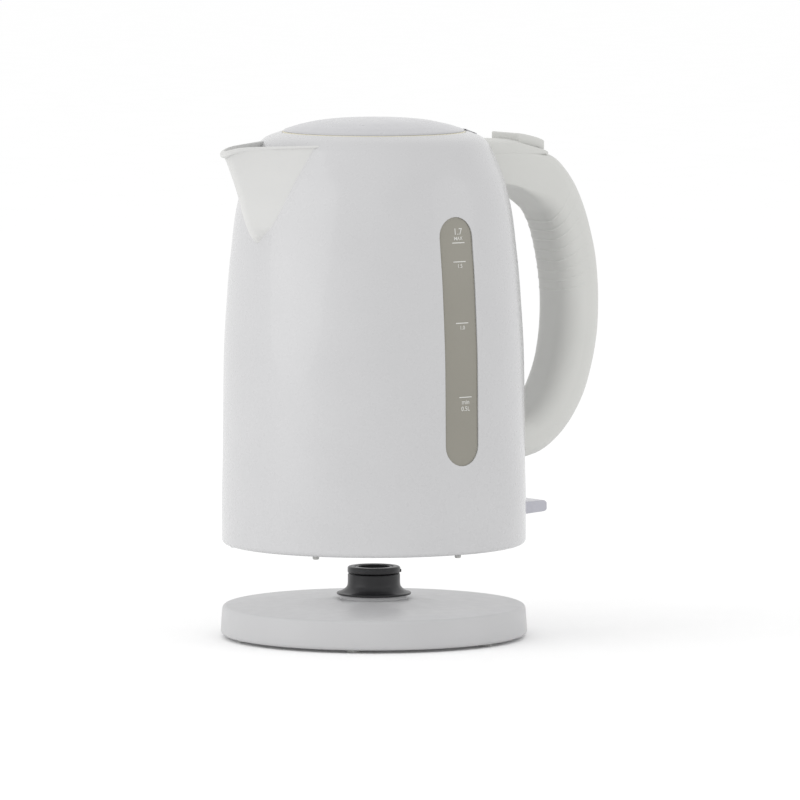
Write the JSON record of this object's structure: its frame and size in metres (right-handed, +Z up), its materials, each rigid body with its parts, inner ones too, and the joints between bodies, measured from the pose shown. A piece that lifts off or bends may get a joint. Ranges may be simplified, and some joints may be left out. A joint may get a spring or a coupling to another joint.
{
  "type": "electric kettle",
  "caption": "Cordless electric kettle with a tall tapered jug, side water gauge, beak spout, loop handle with lid button, and a round power base with a central plug.",
  "frame": {"origin": "on the power base's axis, on the plane its rubber feet stand on", "axes": "+Z up, +X towards the handle, -X towards the spout, -Y towards the water gauge"},
  "size_m": [0.227, 0.1566, 0.2658],
  "materials": {
    "gloss_white": "glossy moulded polypropylene",
    "satin_white": "satin moulded plastic",
    "grip_white": "fine matt moulded plastic",
    "black_plastic": "satin black heat-resistant plastic",
    "stainless": "brushed stainless steel",
    "brass_contact": "bright turned brass",
    "silicone": "soft translucent silicone",
    "grey_rubber": "matt grey rubber",
    "smoke_window": "smoked clear plastic",
    "lamp_red": "clear red plastic",
    "lever_grey": "glossy blue-grey plastic"
  },
  "bodies": {
    "base": {"base_top_shell": "satin_white", "base_bottom_cover": "satin_white", "cord_inlet": "black_plastic", "base_screw_1": "stainless", "base_screw_2": "stainless", "base_screw_3": "stainless", "base_foot_1": "grey_rubber", "base_foot_2": "grey_rubber", "base_foot_3": "grey_rubber", "base_foot_4": "grey_rubber", "base_foot_5": "grey_rubber", "base_foot_6": "grey_rubber", "connector_plug": "black_plastic", "plug_ring_contact": "brass_contact", "plug_centre_contact": "brass_contact"},
    "swivel": {"connector_collar": "black_plastic"},
    "kettle": {"jug_shell": "gloss_white", "spout_beak": "satin_white", "top_collar": "gloss_white", "water_window": "smoke_window", "window_gasket": "silicone", "plate_seal": "silicone", "heating_plate": "stainless", "plate_clamp_ring": "satin_white", "steam_tube": "satin_white", "heating_element": "stainless", "control_housing": "black_plastic", "kettle_socket": "black_plastic", "socket_centre_pin": "brass_contact", "socket_ring_contact": "brass_contact", "bimetal_disc_1": "stainless", "bimetal_disc_2": "stainless", "bottom_cover": "gloss_white", "bottom_screw_1": "stainless", "bottom_screw_2": "stainless", "bottom_screw_3": "stainless", "lid_hinge_pin": "stainless", "lid_spring": "stainless", "grip_outer_shell": "grip_white", "grip_inner_shell": "grip_white", "handle_top_cover": "grip_white", "button_spring": "stainless", "switch_pivot_pin": "stainless", "trip_arm_pin": "stainless", "indicator_lamp": "lamp_red"},
    "lid": {"lid_outer": "gloss_white", "lid_inner": "satin_white", "lid_seal": "silicone"},
    "button": {"lid_button": "grip_white"},
    "latch": {"latch_slider": "black_plastic"},
    "filter": {"filter_frame": "satin_white", "filter_mesh": "stainless"},
    "lever": {"switch_lever": "lever_grey"},
    "trip": {"trip_arm": "black_plastic"}
  },
  "joints": [
    {"name": "kettle_spin", "type": "hinge", "parent": "base", "child": "swivel", "pos_m": [0, 0, 0.033], "axis": [0, 0, 1], "continuous": true},
    {"name": "kettle_lift", "type": "slide", "parent": "swivel", "child": "kettle", "axis": [0, 0, 1], "range_m": [-0.0294, 0.06]},
    {"name": "lid_hinge", "type": "hinge", "parent": "kettle", "child": "lid", "pos_m": [0.0506, 0, 0.2548], "axis": [0, 1, 0], "range_deg": [0, 80]},
    {"name": "lid_button_press", "type": "slide", "parent": "kettle", "child": "button", "axis": [0, 0, -1], "range_m": [0, 0.0022], "stiffness_N_per_m": 500, "deforming": ["button_spring"]},
    {"name": "latch_slide", "type": "slide", "parent": "kettle", "child": "latch", "axis": [1, 0, 0], "range_m": [0, 0.0022]},
    {"name": "filter_pull", "type": "slide", "parent": "kettle", "child": "filter", "axis": [1, 0, 0], "range_m": [0, 0.016]},
    {"name": "switch_rocker", "type": "hinge", "parent": "kettle", "child": "lever", "pos_m": [0.069, 0, 0.062], "axis": [0, 1, 0], "range_deg": [0, 10]},
    {"name": "trip_arm_rock", "type": "hinge", "parent": "kettle", "child": "trip", "pos_m": [0.032, 0, 0.0622], "axis": [0, 1, 0], "range_deg": [-4.2, 0.2]}
  ],
  "couplings": [
    {"joint": "latch_slide", "follows": "lid_button_press", "ratio": 1},
    {"joint": "trip_arm_rock", "follows": "switch_rocker", "ratio": -0.4}
  ]
}
